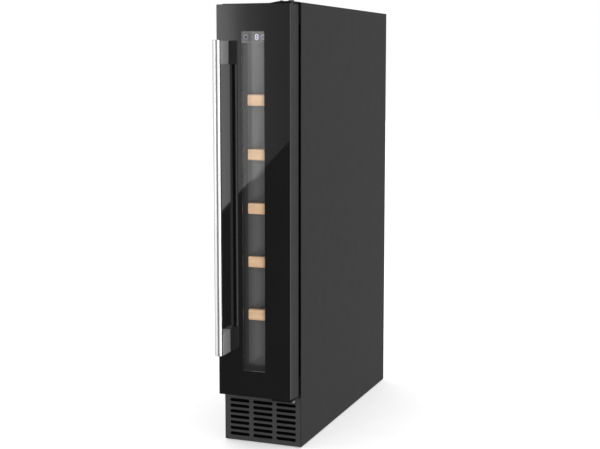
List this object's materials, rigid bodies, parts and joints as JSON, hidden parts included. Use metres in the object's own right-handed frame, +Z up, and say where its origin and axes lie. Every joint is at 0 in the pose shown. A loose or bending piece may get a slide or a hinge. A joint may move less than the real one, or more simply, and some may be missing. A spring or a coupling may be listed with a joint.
{
  "type": "wine cooler",
  "caption": "Slim built-in wine cooler with a hinged glass door, a steel bar handle, shelves with wooden fronts and a vented plinth.",
  "frame": {"origin": "on the floor, under the middle of the whole object's footprint, handle included", "axes": "+Z up, +X to the right as seen from the front, +Y towards the back, so the door faces -Y"},
  "size_m": [0.148, 0.58, 0.7894],
  "materials": {
    "cabinet_paint": "satin dark grey powder coat",
    "plinth_paint": "satin dark grey powder coat",
    "zinc_steel": "zinc plated, spangled",
    "liner_plastic": "fine grained grey plastic, darker at the front",
    "foam": "foamed, matt",
    "door_glass": "polished float glass",
    "black_print": "gloss black enamel behind glass",
    "inner_glass": "polished float glass, faint tint",
    "frame_plastic": "fine grained dark grey plastic",
    "gasket_rubber": "soft matt rubber",
    "brushed_steel": "brushed along its length",
    "hinge_steel": "semi gloss black",
    "beech": "clear lacquered beech",
    "black_wire": "semi gloss black coated wire",
    "fan_plastic": "moulded black plastic",
    "panel_plastic": "satin grey plastic",
    "button_metal": "satin metallised ring",
    "display_lens": "gloss grey lens with a lit digit",
    "board_green": "solder mask",
    "light_diffuser": "opal diffuser",
    "coil_black": "black stove enamel",
    "copper": "bright drawn copper",
    "evaporator_aluminium": "rolled aluminium",
    "foot_rubber": "moulded black rubber"
  },
  "bodies": {
    "cabinet": {"left_side_panel": "cabinet_paint", "right_side_panel": "cabinet_paint", "top_panel": "cabinet_paint", "back_panel": "zinc_steel", "rear_cover": "zinc_steel", "base_plate": "zinc_steel", "plinth_grille": "plinth_paint", "inner_liner": "liner_plastic", "insulation_foam": "foam", "evaporator_plate": "evaporator_aluminium", "evaporator_cover": "liner_plastic", "circulation_fan_motor": "fan_plastic", "led_strip": "light_diffuser", "control_panel_housing": "panel_plastic", "control_board": "board_green", "display_window": "display_lens", "top_hinge_bracket": "hinge_steel", "bottom_hinge_bracket": "hinge_steel", "top_hinge_pin": "zinc_steel", "bottom_hinge_pin": "zinc_steel", "condenser_coil": "coil_black", "condenser_fan_housing": "fan_plastic", "compressor": "coil_black", "compressor_mount": "zinc_steel", "drip_tray": "liner_plastic", "power_board_box": "liner_plastic", "power_inlet": "fan_plastic", "discharge_pipe": "copper", "suction_pipe": "copper"},
    "door": {"door_frame": "frame_plastic", "door_glass_outer": "door_glass", "glass_print_border": "black_print", "door_glass_inner": "inner_glass", "glass_spacer": "frame_plastic", "door_gasket": "gasket_rubber", "handle_bar": "brushed_steel", "handle_post_lower": "brushed_steel", "handle_post_upper": "brushed_steel", "handle_screw_lower": "zinc_steel", "handle_screw_upper": "zinc_steel"},
    "shelf_1": {"shelf_front_1": "beech", "shelf_rack_1": "black_wire"},
    "shelf_2": {"shelf_front_2": "beech", "shelf_rack_2": "black_wire"},
    "shelf_3": {"shelf_front_3": "beech", "shelf_rack_3": "black_wire"},
    "shelf_4": {"shelf_front_4": "beech", "shelf_rack_4": "black_wire"},
    "shelf_5": {"shelf_front_5": "beech", "shelf_rack_5": "black_wire"},
    "power_button": {"power_button": "button_metal"},
    "up_button": {"up_button": "button_metal"},
    "down_button": {"down_button": "button_metal"},
    "light_button": {"light_button": "button_metal"},
    "foot_front_left": {"foot_front_left": "foot_rubber"},
    "foot_front_right": {"foot_front_right": "foot_rubber"},
    "foot_rear_left": {"foot_rear_left": "foot_rubber"},
    "foot_rear_right": {"foot_rear_right": "foot_rubber"},
    "condenser_fan": {"condenser_fan_rotor": "fan_plastic"},
    "circulation_fan": {"circulation_fan_rotor": "fan_plastic"}
  },
  "joints": [
    {"name": "door_hinge", "type": "hinge", "parent": "cabinet", "child": "door", "pos_m": [0.064, -0.23, 0.405], "axis": [0, 0, 1], "range_deg": [0, 110]},
    {"name": "shelf_1_slide", "type": "slide", "parent": "cabinet", "child": "shelf_1", "axis": [0, -1, 0], "range_m": [0, 0.09]},
    {"name": "shelf_2_slide", "type": "slide", "parent": "cabinet", "child": "shelf_2", "axis": [0, -1, 0], "range_m": [0, 0.09]},
    {"name": "shelf_3_slide", "type": "slide", "parent": "cabinet", "child": "shelf_3", "axis": [0, -1, 0], "range_m": [0, 0.09]},
    {"name": "shelf_4_slide", "type": "slide", "parent": "cabinet", "child": "shelf_4", "axis": [0, -1, 0], "range_m": [0, 0.09]},
    {"name": "shelf_5_slide", "type": "slide", "parent": "cabinet", "child": "shelf_5", "axis": [0, -1, 0], "range_m": [0, 0.09]},
    {"name": "power_button_press", "type": "slide", "parent": "cabinet", "child": "power_button", "axis": [0, 1, 0], "range_m": [0, 0.0008], "stiffness_N_per_m": 600},
    {"name": "up_button_press", "type": "slide", "parent": "cabinet", "child": "up_button", "axis": [0, 1, 0], "range_m": [0, 0.0008], "stiffness_N_per_m": 600},
    {"name": "down_button_press", "type": "slide", "parent": "cabinet", "child": "down_button", "axis": [0, 1, 0], "range_m": [0, 0.0008], "stiffness_N_per_m": 600},
    {"name": "light_button_press", "type": "slide", "parent": "cabinet", "child": "light_button", "axis": [0, 1, 0], "range_m": [0, 0.0008], "stiffness_N_per_m": 600},
    {"name": "foot_front_left_screw", "type": "slide", "parent": "cabinet", "child": "foot_front_left", "axis": [0, 0, -1], "range_m": [0, 0.025]},
    {"name": "foot_front_right_screw", "type": "slide", "parent": "cabinet", "child": "foot_front_right", "axis": [0, 0, -1], "range_m": [0, 0.025]},
    {"name": "foot_rear_left_screw", "type": "slide", "parent": "cabinet", "child": "foot_rear_left", "axis": [0, 0, -1], "range_m": [0, 0.025]},
    {"name": "foot_rear_right_screw", "type": "slide", "parent": "cabinet", "child": "foot_rear_right", "axis": [0, 0, -1], "range_m": [0, 0.025]},
    {"name": "condenser_fan_spin", "type": "hinge", "parent": "cabinet", "child": "condenser_fan", "pos_m": [0, -0.14, 0.054], "axis": [0, 1, 0], "continuous": true},
    {"name": "circulation_fan_spin", "type": "hinge", "parent": "cabinet", "child": "circulation_fan", "pos_m": [0, 0.2165, 0.695], "axis": [0, 1, 0], "continuous": true}
  ],
  "couplings": [
    {"joint": "shelf_1_slide", "follows": "door_hinge", "m_per_rad": 0.045},
    {"joint": "shelf_2_slide", "follows": "door_hinge", "m_per_rad": 0.045},
    {"joint": "shelf_3_slide", "follows": "door_hinge", "m_per_rad": 0.045},
    {"joint": "shelf_4_slide", "follows": "door_hinge", "m_per_rad": 0.045},
    {"joint": "shelf_5_slide", "follows": "door_hinge", "m_per_rad": 0.045}
  ]
}
